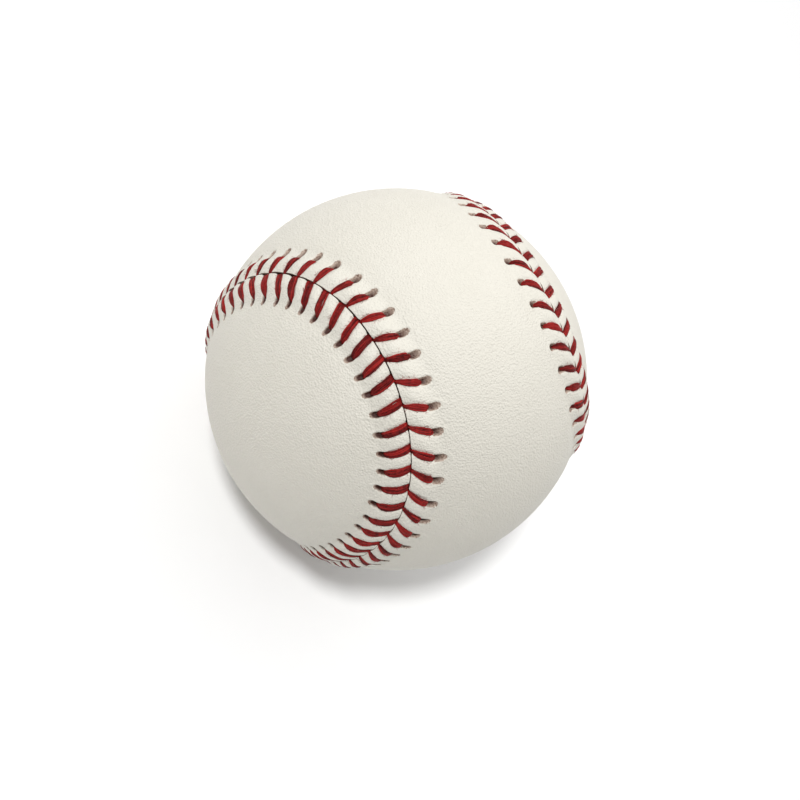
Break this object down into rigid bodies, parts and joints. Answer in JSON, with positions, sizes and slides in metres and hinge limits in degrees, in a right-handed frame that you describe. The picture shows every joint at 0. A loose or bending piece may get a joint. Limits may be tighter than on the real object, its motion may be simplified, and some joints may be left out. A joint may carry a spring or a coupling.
{
  "type": "baseball",
  "caption": "Leather-covered ball with a raised, red-laced seam over wound yarn, rubber cups and a cork centre, for throwing, hitting and catching.",
  "frame": {"origin": "centre of the ball", "axes": "+Z passes through the waist of the upper leather panel, whose two lobes reach down along +X and -X; -Z passes through the waist of the lower panel, whose two lobes reach up along +Y and -Y"},
  "size_m": [0.0742, 0.0742, 0.0744],
  "materials": {
    "white_leather": "satin",
    "red_waxed_thread": "waxed",
    "white_cotton": "matte",
    "grey_wool": "matte",
    "white_wool": "matte",
    "red_rubber": "matte",
    "black_rubber": "matte",
    "composition_cork": "matte"
  },
  "bodies": {
    "root": {"cover_panel_upper": "white_leather", "cover_panel_lower": "white_leather", "seam_thread_first_needle": "red_waxed_thread", "seam_thread_second_needle": "red_waxed_thread", "cotton_finishing_winding": "white_cotton", "three_ply_grey_winding": "grey_wool", "three_ply_white_winding": "white_wool", "four_ply_grey_winding": "grey_wool", "red_rubber_cup_top": "red_rubber", "red_rubber_cup_bottom": "red_rubber", "black_rubber_cup_top": "black_rubber", "black_rubber_cup_bottom": "black_rubber", "rubber_gasket": "red_rubber", "cork_centre": "composition_cork"}
  },
  "joints": []
}
